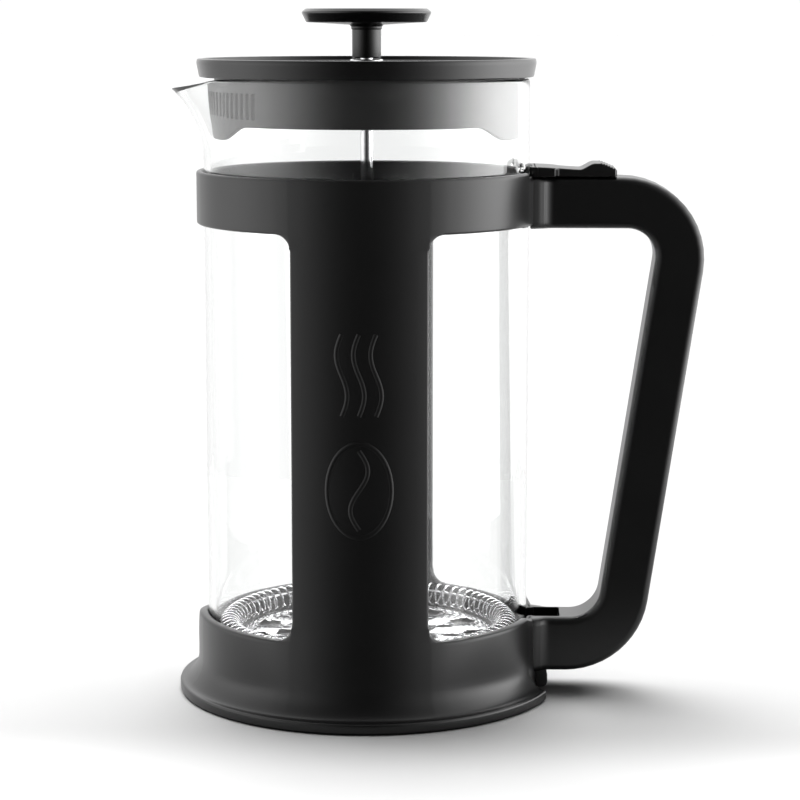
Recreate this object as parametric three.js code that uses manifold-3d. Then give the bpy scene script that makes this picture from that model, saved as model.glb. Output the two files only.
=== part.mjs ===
// French press: a plastic frame with handle and slide lock, a glass beaker with a spout,
// a lid with a strainer skirt, and a plunger with its filter stack.
// Millimetres, +Z up. Shapes are built around the beaker's axis; the handle is at +X, the spout at -X.
import * as THREE from "three";
import { mergeVertices } from "three/addons/utils/BufferGeometryUtils.js";
import Module from "manifold-3d";

const wasm = await Module();
wasm.setup();

// ---- driving dimensions ----
const GAP = 0.3; // between pieces that touch
const ROUND = 48; // facets of the large rings
const KNOB_ROUND = 36;
const SMALL_ROUND = 24; // facets of rods and bores

const GLASS_R = 50;
const GLASS_WALL = 2;
const GLASS_BOTTOM = 9;
const GLASS_FLOOR = 2.2;
const GLASS_RIM = 190.5;
const GLASS_CORNER = 6; // radius of the bottom edge
const GLASS_INNER_CORNER = 4.5;
const GLASS_SOFT = 0.6; // bevel of the rim
const SPOUT_START = 166; // height where the spout leaves the wall
const SPOUT_REACH = 10.3; // how far the tip stands out of the wall
const SPOUT_DROP = 3; // how far the tip lies below the rim
const SPOUT_HALF_ANGLE = THREE.MathUtils.degToRad(32);
const LUG_R = 1.4;
const LUG_ANGLE = 19; // degrees from +X of the two lugs beside the lock
const LUG_Z = 164.3;

const FRAME_IN = GLASS_R + GAP;
const COLLAR_OUT = 52.3;
const COLLAR_Z = [146.4, 162.6];
const COLLAR_SOFT = 0.9; // bevel of its outer edges
const LOCK_WAY_HALF = 16; // the collar is lower under the lock, this far to each side
const BAND_OUT = 53.2;
const BAND_TOP = 25.5;
const BACK_DROP = 3.2; // how much lower the band is behind the side windows
const FOOT_R = 59.2;
const LEDGE_IN = 42; // hole under the beaker
const LEDGE_THICK = 2.2;
const NOTCH_R = 53.5; // the foot's flare is cut back to this radius under the handle
const NOTCH_HALF = 19;
const NOTCH_TOP = 9.4;
const STRAP_HALF = 20;
const WINDOW_FILLET = 5;

const HANDLE_HALF = 8.5;
const HANDLE_EDGE = 2.2; // bevel along the handle's edges
const HANDLE_TOP = 160.8;
const HANDLE_UNDER_TOP = 145.2;
const HANDLE_OVER_BASE = 23.7;
const HANDLE_BASE = 6.6;
const GRIP_SLOPE = 0.149; // x gained by the grip for each millimetre up
const GRIP_OUT_X = 83.4; // the grip's outer line, at z = 0
const GRIP_IN_X = 68.1; // and its inner line
const TOP_BEND = [25, 8.5]; // outer and inner radius where the upper arm turns into the grip
const BASE_BEND = [26, 9.5]; // and where the grip turns into the lower arm
const ARM_START = 50; // the arms' outline begins inside the frame's wall
const WAIST = 100; // a height between the two arms
const ROOT_HALF = 11.7; // half width of the arms where they meet the frame
const ROOT_X = 56.5; // where the arms reach their full slimness
const ROOT_Z = [[HANDLE_UNDER_TOP + 1.4, HANDLE_TOP - 0.6], [HANDLE_BASE + 2.6, HANDLE_OVER_BASE]];
const POCKET_X = [55, 60.4]; // pocket in the top of the lower arm
const POCKET_HALF = 6;
const POCKET_FLOOR = 17;

const LOCK_Z = [HANDLE_TOP + GAP, 163.2];
const LOCK_HALF = 8.2;
const LOCK_END = 76.4;
const LOCK_JAW_ANGLE = 12;
const LOCK_JAW_R = [GLASS_R + 2 * GAP, 54];
const LOCK_TRAVEL = 5;
const KEEL_HALF = 2.4;
const KEEL_X = [58, 65];
const KEEL_DEPTH = 3.6;

const LID_BOTTOM = GLASS_RIM + 0.4;
const LID_TOP = 196.5;
const LID_R = 52;
const LID_LOW_R = 51.1;
const LID_WALL_IN = 47.4;
const LID_FLOOR = [192.8, 195];
const SKIRT_R = 46.5;
const SKIRT_WALL = 1.4;
const SKIRT_LOW = 176.7;
const TAB_LOW = 172.5;
const TAB_X = [35, 42.7]; // where a tab's slanted end begins and stops
const STRAINER_HOLE = 36;
const SLOT_COUNT = 31;
const SLOT_PITCH = 3.2; // degrees
const SLOT_WIDTH = 1.2;
const SLOT_Z = [180, 186.6];

const ROD_R = 2;
const BORE_R = ROD_R + GAP;
const BUSHING_Z = [191, 196.2];
const FLANGE_R = 5.1;
const STEM_R = 4.45;
const STEM_LOW = 196.6;
const KNOB_R = 19.85;
const KNOB_TOP = 211.5;
const INSERT_R = 3.1;
const INSERT_Z = [197.2, 205.6];

const COIL_R = 43.7; // radius of the spring's centre line
const COIL_TUBE = 3.7;
const COIL_WALL = 0.5;
const COIL_Z = 20.1;
const COIL_OPEN = 60; // degrees of the tube that are open towards the plate
const PLATE_R = 41.4;
const PLATE_Z = [15.9, 16.9];
const HOLE_RINGS = [[14, 26.2, 2.4], [14, 34.4, 3.3]]; // count, radius of the ring, radius of a hole
const MESH_Z = [14.9, 15.4];
const MESH_R = 46;
const CROSS_Z = [13.5, 14.6];
const CROSS_R = 44;
const CROSS_RIM = 5;
const CROSS_HUB = 12;
const SPOKES = 6;
const SPOKE_SHARE = 0.2; // part of a turn's sixth that a spoke takes
const CLAMP_R = 4.6; // collar and nut on the rod
const CLAMP_Z = [PLATE_Z[1] + GAP, 20.3];
const NUT_Z = [12, 13.2];
const ROD_Z = [12, 205.3];

// ---- finishes ----
function finish(color, roughness, metalness) {
  return new THREE.MeshStandardMaterial({ color, roughness, metalness });
}

const blackPlastic = finish(0x161617, 0.42, 0);
const greyPlastic = finish(0x3a3a3c, 0.45, 0);
const chrome = finish(0xd8dadc, 0.12, 1);
const steel = finish(0xb4b6b8, 0.3, 1);
const brass = finish(0xb9963f, 0.3, 1);
const glass = new THREE.MeshStandardMaterial({
  color: 0xf2f6f5,
  roughness: 0.05,
  metalness: 0,
  transparent: true,
  opacity: 0.3,
});

// ---- solids ----
// A closed three.js geometry as a manifold-3d solid.
function solidOf(geometry) {
  const bare = new THREE.BufferGeometry();
  bare.setAttribute("position", geometry.getAttribute("position"));
  bare.setIndex(geometry.index);
  const merged = mergeVertices(bare, 1e-4);
  const corners = merged.index.array;
  const triangles = [];
  for (let i = 0; i < corners.length; i += 3) {
    const [a, b, c] = [corners[i], corners[i + 1], corners[i + 2]];
    if (a !== b && b !== c && c !== a) triangles.push(a, b, c);
  }
  const vertProperties = merged.getAttribute("position").array;
  const triVerts = new Uint32Array(triangles);
  return new wasm.Manifold(new wasm.Mesh({ numProp: 3, vertProperties, triVerts }));
}

// A manifold-3d solid as a three.js geometry.
function geometryOf(solid) {
  const mesh = solid.getMesh();
  const geometry = new THREE.BufferGeometry();
  geometry.setAttribute("position", new THREE.BufferAttribute(new Float32Array(mesh.vertProperties), 3));
  geometry.setIndex(new THREE.BufferAttribute(new Uint32Array(mesh.triVerts), 1));
  geometry.computeVertexNormals();
  return geometry;
}

// A solid of revolution; the profile of [radius, height] runs upwards outside, from axis to axis.
function turnedFromAxis(profile, facets) {
  const line = profile.map(([r, z]) => new THREE.Vector2(r, z));
  return new THREE.LatheGeometry(line, facets).rotateX(Math.PI / 2);
}

// A ring around the axis; the profile is a closed loop of [radius, height].
function turned(profile, facets = ROUND) {
  const loop = profile.map(([r, z]) => new THREE.Vector2(r, z));
  if (THREE.ShapeUtils.area(loop) < 0) loop.reverse();
  loop.push(loop[0].clone());
  return new THREE.LatheGeometry(loop, facets).rotateX(Math.PI / 2);
}

// A plain ring with a rectangular section.
function ring(inner, outer, low, high, facets = ROUND) {
  return turned([[inner, low], [outer, low], [outer, high], [inner, high]], facets);
}

function cylinder(radius, low, high, facets = SMALL_ROUND) {
  const shape = new THREE.CylinderGeometry(radius, radius, high - low, facets);
  return shape.rotateX(Math.PI / 2).translate(0, 0, (low + high) / 2);
}

function box(x, y, z) {
  const size = [x[1] - x[0], y[1] - y[0], z[1] - z[0]];
  const middle = [(x[0] + x[1]) / 2, (y[0] + y[1]) / 2, (z[0] + z[1]) / 2];
  return new THREE.BoxGeometry(...size).translate(...middle);
}

// An outline in the XZ plane, given thickness along Y.
function sideways(shape, y, bevel = 0) {
  const depth = y[1] - y[0] - 2 * bevel;
  const options = { depth, curveSegments: 8, bevelEnabled: bevel > 0 };
  Object.assign(options, { bevelThickness: bevel, bevelSize: bevel, bevelOffset: -bevel, bevelSegments: 2 });
  return new THREE.ExtrudeGeometry(shape, options).rotateX(Math.PI / 2).translate(0, y[1] - bevel, 0);
}

// An outline in the XY plane, given thickness along Z.
function upwards(shape, z, curveSegments = 8) {
  return new THREE.ExtrudeGeometry(shape, { depth: z[1] - z[0], curveSegments, bevelEnabled: false })
    .translate(0, 0, z[0]);
}

function polygon(points) {
  return new THREE.Shape(points.map(([x, y]) => new THREE.Vector2(x, y)));
}

// A path whose corners are rounded: each entry is [x, y, radius].
function roundedPath(corners) {
  const shape = new THREE.Shape();
  corners.forEach(([x, y, radius = 0], i) => {
    const corner = new THREE.Vector2(x, y);
    const before = new THREE.Vector2(...corners.at(i - 1)).sub(corner);
    const after = new THREE.Vector2(...corners[(i + 1) % corners.length]).sub(corner);
    const halfTurn = (Math.PI - Math.abs(before.angleTo(after))) / 2;
    const reach = radius * Math.tan(halfTurn);
    const start = corner.clone().add(before.setLength(reach));
    const end = corner.clone().add(after.setLength(reach));
    if (i === 0) shape.moveTo(start.x, start.y);
    else shape.lineTo(start.x, start.y);
    if (radius > 0) addArc(shape, start, corner, end, radius);
  });
  return shape;
}

// The arc of a rounded corner, from start to end.
function addArc(shape, start, corner, end, radius) {
  const middle = start.clone().add(end).multiplyScalar(0.5);
  const reach = Math.hypot(radius, start.distanceTo(corner));
  const centre = corner.clone().add(middle.sub(corner).setLength(reach));
  const from = Math.atan2(start.y - centre.y, start.x - centre.x);
  const to = Math.atan2(end.y - centre.y, end.x - centre.x);
  const clockwise = Math.sin(to - from) < 0;
  shape.absarc(centre.x, centre.y, radius, from, to, clockwise);
}

// ---- frame ----
function frameBase() {
  const foot = [[FOOT_R - 0.7, 0], [FOOT_R, 0.7], [FOOT_R, 2.3], [FOOT_R - 0.6, 3]];
  const flare = [[57.4, 3.6], [55.6, 5.1], [54.3, 7.2], [BAND_OUT + 0.2, 9.6], [BAND_OUT, 12]];
  const top = [[BAND_OUT, BAND_TOP - 0.8], [BAND_OUT - 0.7, BAND_TOP], [FRAME_IN + 0.5, BAND_TOP]];
  const seat = GLASS_BOTTOM - GAP;
  const ledge = seat - LEDGE_THICK;
  const inside = [[FRAME_IN, BAND_TOP - 0.6], [FRAME_IN, seat], [LEDGE_IN, seat], [LEDGE_IN, ledge]];
  const under = [[50, ledge], [51.6, 5.2], [53.4, 3.2], [56.4, 1.2], [56.8, 0]];
  const whole = solidOf(turned([...foot, ...flare, ...top, ...inside, ...under]));
  const beside = box([LEDGE_IN, FOOT_R + 1], [-NOTCH_HALF, NOTCH_HALF], [-1, NOTCH_TOP]);
  const notch = solidOf(beside).subtract(solidOf(cylinder(NOTCH_R, -2, BAND_TOP, ROUND)));
  const behind = box([-FOOT_R, FOOT_R], [0, FOOT_R], [BAND_TOP - BACK_DROP, BAND_TOP + 1]);
  return geometryOf(whole.subtract(notch).subtract(solidOf(behind)));
}

function frameCollar() {
  const [low, high] = COLLAR_Z;
  const shoulder = COLLAR_OUT - COLLAR_SOFT;
  const section = [
    [FRAME_IN, low + 0.4], [FRAME_IN + 0.4, low], [shoulder, low], [COLLAR_OUT, low + COLLAR_SOFT],
    [COLLAR_OUT, high - COLLAR_SOFT], [shoulder, high], [FRAME_IN + 0.4, high], [FRAME_IN, high - 0.4],
  ];
  const lockWay = box([LEDGE_IN, FOOT_R], [-LOCK_WAY_HALF, LOCK_WAY_HALF], [HANDLE_TOP, high + 1]);
  return geometryOf(solidOf(turned(section)).subtract(solidOf(lockWay)));
}

// A vertical strap between base and collar; side is -1 for the front and 1 for the back.
function frameStrap(side) {
  const low = (side < 0 ? BAND_TOP : BAND_TOP - BACK_DROP) + GAP;
  const high = COLLAR_Z[0] - GAP;
  const shell = solidOf(ring(FRAME_IN, COLLAR_OUT, low, high));
  const wide = STRAP_HALF + WINDOW_FILLET;
  const outline = new THREE.Shape();
  outline.moveTo(-wide, low);
  outline.lineTo(wide, low);
  outline.absarc(wide, low + WINDOW_FILLET, WINDOW_FILLET, -Math.PI / 2, -Math.PI, true);
  outline.absarc(wide, high - WINDOW_FILLET, WINDOW_FILLET, Math.PI, Math.PI / 2, true);
  outline.lineTo(-wide, high);
  outline.absarc(-wide, high - WINDOW_FILLET, WINDOW_FILLET, Math.PI / 2, 0, true);
  outline.absarc(-wide, low + WINDOW_FILLET, WINDOW_FILLET, 0, -Math.PI / 2, true);
  const across = side < 0 ? [-FOOT_R, 0] : [0, FOOT_R];
  return geometryOf(shell.intersect(solidOf(sideways(outline, across))));
}

// The C-shaped handle with its two arms, the pocket over the base and the lock's keyway.
function handle() {
  const outerX = (z) => GRIP_OUT_X + GRIP_SLOPE * z;
  const innerX = (z) => GRIP_IN_X + GRIP_SLOPE * z;
  const outline = roundedPath([
    [ARM_START, HANDLE_TOP],
    [outerX(HANDLE_TOP), HANDLE_TOP, TOP_BEND[0]],
    [outerX(HANDLE_BASE), HANDLE_BASE, BASE_BEND[0]],
    [ARM_START, HANDLE_BASE],
    [ARM_START, HANDLE_OVER_BASE],
    [innerX(HANDLE_OVER_BASE), HANDLE_OVER_BASE, BASE_BEND[1]],
    [innerX(HANDLE_UNDER_TOP), HANDLE_UNDER_TOP, TOP_BEND[1]],
    [ARM_START, HANDLE_UNDER_TOP],
  ]);
  let solid = solidOf(sideways(outline, [-HANDLE_HALF, HANDLE_HALF], HANDLE_EDGE));
  for (const z of ROOT_Z) solid = solid.add(solidOf(rootFillet(z)));
  solid = solid.add(solidOf(rootTongue()));
  solid = solid.subtract(solidOf(cylinder(COLLAR_OUT + GAP, WAIST, KNOB_TOP, ROUND)));
  solid = solid.subtract(solidOf(cylinder(BAND_OUT + 2 * GAP, -1, WAIST, ROUND)));
  solid = solid.subtract(solidOf(box(POCKET_X, [-POCKET_HALF, POCKET_HALF], [POCKET_FLOOR, WAIST])));
  const keyway = [KEEL_X[0] - GAP, KEEL_X[1] + LOCK_TRAVEL + GAP];
  const keywayHalf = KEEL_HALF + GAP;
  const keyBox = box(keyway, [-keywayHalf, keywayHalf], [HANDLE_TOP - KEEL_DEPTH - GAP, HANDLE_TOP + 5]);
  return geometryOf(solid.subtract(solidOf(keyBox)));
}

// The arms widen towards the frame in a hollow curve on each side.
function rootFillet(z) {
  const shape = new THREE.Shape();
  const sweep = ROOT_HALF - HANDLE_HALF;
  shape.moveTo(ARM_START, -ROOT_HALF);
  shape.lineTo(ROOT_X - sweep, -ROOT_HALF);
  shape.quadraticCurveTo(ROOT_X - sweep, -HANDLE_HALF, ROOT_X, -HANDLE_HALF);
  shape.lineTo(ROOT_X, HANDLE_HALF);
  shape.quadraticCurveTo(ROOT_X - sweep, HANDLE_HALF, ROOT_X - sweep, ROOT_HALF);
  shape.lineTo(ARM_START, ROOT_HALF);
  return upwards(shape, z);
}

// The short web below the lower arm, inside the foot's notch.
function rootTongue() {
  const nose = [[55.6, 1.4], [56.5, 2.4], [56.6, 3.8], [55.9, 5.2]];
  const outline = polygon([[53, 9], [53, 1.4], ...nose, [55.4, 9]]);
  return sideways(outline, [-HANDLE_HALF + 0.5, HANDLE_HALF - 0.5]);
}

// ---- lock ----
function lockSlider() {
  const plan = new THREE.Shape();
  const half = THREE.MathUtils.degToRad(LOCK_JAW_ANGLE);
  const [inner, outer] = LOCK_JAW_R;
  plan.absarc(0, 0, inner, half, -half, true);
  plan.absarc(0, 0, outer, -half, -Math.asin(LOCK_HALF / outer), false);
  plan.lineTo(LOCK_END, -LOCK_HALF);
  plan.lineTo(LOCK_END, LOCK_HALF);
  plan.absarc(0, 0, outer, Math.asin(LOCK_HALF / outer), half, false);
  const within = (LOCK_Z[0] + LOCK_Z[1]) / 2;
  const thumb = polygon([
    [63.5, within], [LOCK_END, within], [LOCK_END, LOCK_Z[1] - 0.1], [72.6, 165],
    [70.2, 165.1], [68.5, 164.7], [66.9, 163.7], [65.3, LOCK_Z[1]],
  ]);
  const keel = box(KEEL_X, [-KEEL_HALF, KEEL_HALF], [HANDLE_TOP - KEEL_DEPTH, LOCK_Z[0] + 1]);
  const plate = solidOf(upwards(plan, LOCK_Z));
  return geometryOf(plate.add(solidOf(sideways(thumb, [-LOCK_HALF, LOCK_HALF]))).add(solidOf(keel)));
}

// ---- beaker ----
// Draws the wall around -X outwards and a little down, so that a pouring lip forms.
function pullSpout(geometry) {
  const place = geometry.getAttribute("position");
  for (let i = 0; i < place.count; i++) {
    const [x, y, z] = [place.getX(i), place.getY(i), place.getZ(i)];
    const radius = Math.hypot(x, y);
    const angle = Math.abs(Math.atan2(y, -x));
    const up = (z - SPOUT_START) / (GLASS_RIM - SPOUT_START);
    if (up <= 0 || radius < 1 || angle >= SPOUT_HALF_ANGLE) continue;
    const across = Math.cos((Math.PI / 2) * (angle / SPOUT_HALF_ANGLE));
    const grow = 1 + (SPOUT_REACH * up ** 1.9 * across ** 3) / radius;
    place.setXYZ(i, x * grow, y * grow, z - SPOUT_DROP * up ** 3 * across ** 2);
  }
  return geometry;
}

function beaker() {
  const inner = GLASS_R - GLASS_WALL;
  const floor = GLASS_BOTTOM + GLASS_FLOOR;
  const arc = (radius, cornerR, z) =>
    [0, 30, 60, 90].map((deg) => {
      const turn = THREE.MathUtils.degToRad(deg);
      return [radius - cornerR + cornerR * Math.sin(turn), z + cornerR - cornerR * Math.cos(turn)];
    });
  const levels = [SPOUT_START, 172, 177.5, 182.5, 187];
  const up = levels.map((z) => [GLASS_R, z]);
  const outside = [[0, GLASS_BOTTOM], ...arc(GLASS_R, GLASS_CORNER, GLASS_BOTTOM), ...up];
  const rim = [
    [GLASS_R, GLASS_RIM - GLASS_SOFT], [GLASS_R - GLASS_SOFT, GLASS_RIM],
    [inner + GLASS_SOFT, GLASS_RIM], [inner, GLASS_RIM - GLASS_SOFT],
  ];
  const down = [...levels].reverse().map((z) => [inner, z]);
  const inside = [...down, ...arc(inner, GLASS_INNER_CORNER, floor).reverse(), [0, floor]];
  let solid = solidOf(pullSpout(turnedFromAxis([...outside, ...rim, ...inside], ROUND)));
  for (const side of [-1, 1]) {
    const turn = THREE.MathUtils.degToRad(side * LUG_ANGLE);
    const lug = new THREE.SphereGeometry(LUG_R, 12, 8);
    lug.translate(GLASS_R * Math.cos(turn), GLASS_R * Math.sin(turn), LUG_Z);
    const around = cylinder(GLASS_R - GLASS_WALL / 2, LUG_Z - 2 * LUG_R, LUG_Z + 2 * LUG_R, ROUND);
    const outsideOnly = solidOf(lug).subtract(solidOf(around));
    solid = solid.add(outsideOnly);
  }
  return geometryOf(solid);
}

// ---- lid ----
function lidCover() {
  const [under, floor] = LID_FLOOR;
  const hole = INSERT_R + 2 * GAP + 0.2;
  return turned([
    [hole, under], [LID_WALL_IN, under], [LID_WALL_IN, LID_BOTTOM], [LID_LOW_R, LID_BOTTOM],
    [LID_R, LID_TOP - 0.4], [LID_R - 0.4, LID_TOP], [LID_R - 1.8, LID_TOP], [LID_R - 2.3, floor],
    [hole, floor],
  ]);
}

function lidStrainer() {
  const top = LID_FLOOR[0] - GAP;
  const inner = SKIRT_R - SKIRT_WALL;
  const section = [
    [inner, TAB_LOW], [SKIRT_R, TAB_LOW], [SKIRT_R, top], [STRAINER_HOLE, top],
    [STRAINER_HOLE, top - SKIRT_WALL], [inner, top - SKIRT_WALL],
  ];
  let solid = solidOf(turned(section));
  const [flat, low] = TAB_X;
  const between = polygon([
    [-low, TAB_LOW - 2], [low, TAB_LOW - 2], [low, TAB_LOW],
    [flat, SKIRT_LOW], [-flat, SKIRT_LOW], [-low, TAB_LOW],
  ]);
  solid = solid.subtract(solidOf(sideways(between, [-LID_R, LID_R])));
  for (let i = 0; i < SLOT_COUNT; i++) {
    const angle = Math.PI + THREE.MathUtils.degToRad(SLOT_PITCH * (i - (SLOT_COUNT - 1) / 2));
    const slot = box([inner - 2, SKIRT_R + 2], [-SLOT_WIDTH / 2, SLOT_WIDTH / 2], SLOT_Z).rotateZ(angle);
    solid = solid.subtract(solidOf(slot));
  }
  return geometryOf(solid);
}

function lidBushing() {
  const body = INSERT_R + GAP / 2;
  const flange = LID_FLOOR[1] + GAP;
  const [low, high] = BUSHING_Z;
  const section = [
    [BORE_R, low], [body, low], [body, flange], [FLANGE_R, flange],
    [FLANGE_R, high - GAP], [FLANGE_R - GAP, high], [BORE_R, high],
  ];
  return turned(section, SMALL_ROUND);
}

// ---- plunger ----
function knob() {
  const socketR = INSERT_R + GAP;
  const socketTop = INSERT_Z[1] + GAP;
  const socket = [[0, socketTop], [socketR, socketTop], [socketR, STEM_LOW]];
  const stem = [[STEM_R, STEM_LOW], [STEM_R, 205.2], [STEM_R + GAP, 205.5], [STEM_R + GAP, 206.1]];
  const cap = [[5.3, 206.6], [18.4, 207.4], [KNOB_R, 210.4], [KNOB_R - 1.35, KNOB_TOP], [0, KNOB_TOP]];
  return turnedFromAxis([...socket, ...stem, ...cap], KNOB_ROUND);
}

// A round plate with a bore, punched through by openings given as paths.
function plate(radius, z, openings) {
  const disc = new THREE.Shape().absarc(0, 0, radius, 0, 2 * Math.PI, false);
  disc.holes.push(roundHole(0, 0, BORE_R, 16), ...openings);
  return upwards(disc, z, ROUND / 4);
}

function roundHole(x, y, radius, corners = 8) {
  const centre = new THREE.Vector2(x, y);
  const points = Array.from({ length: corners }, (_, i) =>
    new THREE.Vector2(radius, 0).rotateAround(new THREE.Vector2(), (-2 * Math.PI * i) / corners).add(centre),
  );
  return new THREE.Path(points);
}

// The perforated plate that spreads the load of the rod, with two rings of holes.
function spiralPlate() {
  const holes = [];
  for (const [count, around, radius] of HOLE_RINGS)
    for (let i = 0; i < count; i++) {
      const turn = (2 * Math.PI * i) / count;
      holes.push(roundHole(around * Math.cos(turn), around * Math.sin(turn), radius));
    }
  return plate(PLATE_R, PLATE_Z, holes);
}

// The edge spring's envelope: a thin channel that is open towards the plate.
function edgeCoil() {
  const steps = 7;
  const sweep = 360 - COIL_OPEN;
  const arc = (radius) =>
    Array.from({ length: steps + 1 }, (_, i) => {
      const turn = THREE.MathUtils.degToRad((sweep * i) / steps - sweep / 2);
      return [COIL_R + radius * Math.cos(turn), COIL_Z + radius * Math.sin(turn)];
    });
  return turned([...arc(COIL_TUBE), ...arc(COIL_TUBE - COIL_WALL).reverse()]);
}

// The plate under the mesh: a rim joined to the middle by broad spokes.
function crossPlate() {
  const openings = [];
  for (let i = 0; i < SPOKES; i++) {
    const ends = [i + SPOKE_SHARE / 2, i + 1 - SPOKE_SHARE / 2];
    const [from, to] = ends.map((turn) => (turn * 2 * Math.PI) / SPOKES);
    const opening = new THREE.Path();
    opening.absarc(0, 0, CROSS_R - CROSS_RIM, from, to, false);
    opening.absarc(0, 0, CROSS_HUB, to, from, true);
    openings.push(opening);
  }
  return plate(CROSS_R, CROSS_Z, openings);
}

// ---- assembly ----
const press = new THREE.Group();

function add(name, geometry, material) {
  const mesh = new THREE.Mesh(geometry, material);
  mesh.name = name;
  press.add(mesh);
}

add("frame_base", frameBase(), blackPlastic);
add("frame_collar", frameCollar(), blackPlastic);
add("frame_front_strap", frameStrap(-1), blackPlastic);
add("frame_back_strap", frameStrap(1), blackPlastic);
add("handle", handle(), blackPlastic);
add("lock_slider", lockSlider(), blackPlastic);
add("glass_beaker", beaker(), glass);
add("lid_cover", lidCover(), blackPlastic);
add("lid_strainer", lidStrainer(), greyPlastic);
add("lid_bushing", lidBushing(), steel);
add("knob", knob(), blackPlastic);
add("knob_insert", ring(BORE_R, INSERT_R, ...INSERT_Z, SMALL_ROUND), brass);
add("plunger_rod", cylinder(ROD_R, ...ROD_Z), chrome);
add("rod_collar", ring(BORE_R, CLAMP_R, ...CLAMP_Z, SMALL_ROUND), chrome);
add("spiral_plate", spiralPlate(), chrome);
add("edge_coil", edgeCoil(), steel);
add("mesh_filter", ring(BORE_R, MESH_R, ...MESH_Z), steel);
add("cross_plate", crossPlate(), chrome);
add("hub_nut", ring(BORE_R, CLAMP_R, ...NUT_Z, 6), steel);

// The origin lies on the ground under the middle of the whole press.
const whole = new THREE.Box3().setFromObject(press, true);
press.position.x = -(whole.min.x + whole.max.x) / 2;

export default press;
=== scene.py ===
"""French press: a moulded frame with a slide lock, a glass beaker, a lid and a plunger.

Shapes are given in millimetres around the beaker's axis and placed in the part's frame, in metres.
"""

import math

import bmesh
import bpy
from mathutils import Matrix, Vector


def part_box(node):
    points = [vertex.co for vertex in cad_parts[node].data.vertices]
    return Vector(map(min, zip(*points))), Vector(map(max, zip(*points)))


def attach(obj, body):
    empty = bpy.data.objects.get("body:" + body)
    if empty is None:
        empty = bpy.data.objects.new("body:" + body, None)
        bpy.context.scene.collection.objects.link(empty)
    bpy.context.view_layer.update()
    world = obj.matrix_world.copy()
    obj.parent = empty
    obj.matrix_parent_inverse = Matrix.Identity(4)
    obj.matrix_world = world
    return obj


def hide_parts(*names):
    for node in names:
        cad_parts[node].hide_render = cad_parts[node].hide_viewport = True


MM = 0.001
FULL = 360.0  # degrees in a turn
SHARP = math.radians(38)
GAP = 0.3  # between pieces that touch
X, Y, Z = range(3)
LOW, HIGH = range(2)

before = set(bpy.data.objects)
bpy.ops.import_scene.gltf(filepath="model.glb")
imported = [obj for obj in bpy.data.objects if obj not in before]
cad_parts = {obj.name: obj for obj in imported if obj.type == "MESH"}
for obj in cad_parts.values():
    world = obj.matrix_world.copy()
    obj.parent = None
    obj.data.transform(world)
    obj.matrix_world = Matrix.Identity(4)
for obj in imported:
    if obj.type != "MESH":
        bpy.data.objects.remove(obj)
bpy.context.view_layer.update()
rod_low, rod_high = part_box("plunger_rod")
AXIS = (rod_low.x + rod_high.x) / 2


def side_of(node, axis, side):
    """The low or high side of a CAD node, in millimetres from the beaker's axis and the ground."""
    offset = AXIS if axis == X else 0
    return round((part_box(node)[side][axis] - offset) / MM, 2)


# ---------------------------------------------------------------- small maths
def smooth(low, high, value):
    """0 below low, 1 above high, with an even curve between."""
    part = min(1.0, max(0.0, (value - low) / (high - low)))
    return part * part * (3 - 2 * part)


def span(low, high, count):
    """count + 1 even steps from low to high."""
    return [low + (high - low) * i / count for i in range(count + 1)]


def polar(radius, degrees, z):
    turn = math.radians(degrees)
    return (radius * math.cos(turn), radius * math.sin(turn), z)


def soften(corners, closed=True, steps=4):
    """A path through (a, b) or (a, b, radius) corners, with those corners rounded."""
    path = []
    last = len(corners) - 1
    for i, corner in enumerate(corners):
        here = Vector(corner[:2])
        radius = corner[2] if len(corner) > 2 else 0
        if radius == 0 or (not closed and i in (0, last)):
            path.append((here.x, here.y))
            continue
        before = (Vector(corners[i - 1][:2]) - here).normalized()
        after = (Vector(corners[(i + 1) % len(corners)][:2]) - here).normalized()
        half = before.angle(after) / 2
        centre = here + (before + after).normalized() * (radius / math.sin(half))
        first = here + before * (radius / math.tan(half)) - centre
        final = here + after * (radius / math.tan(half)) - centre
        start = math.atan2(first.y, first.x)
        sweep = (math.atan2(final.y, final.x) - start + math.pi) % math.tau - math.pi
        for k in range(steps + 1):
            turn = start + sweep * k / steps
            path.append((centre.x + radius * math.cos(turn), centre.y + radius * math.sin(turn)))
    return path


def split(path, step):
    """The same open path with no stretch longer than step."""
    result = [path[0]]
    for (a, b), (c, d) in zip(path, path[1:]):
        parts = max(1, math.ceil(math.hypot(c - a, d - b) / step))
        result += [(a + (c - a) * k / parts, b + (d - b) * k / parts) for k in range(1, parts + 1)]
    return result


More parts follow.
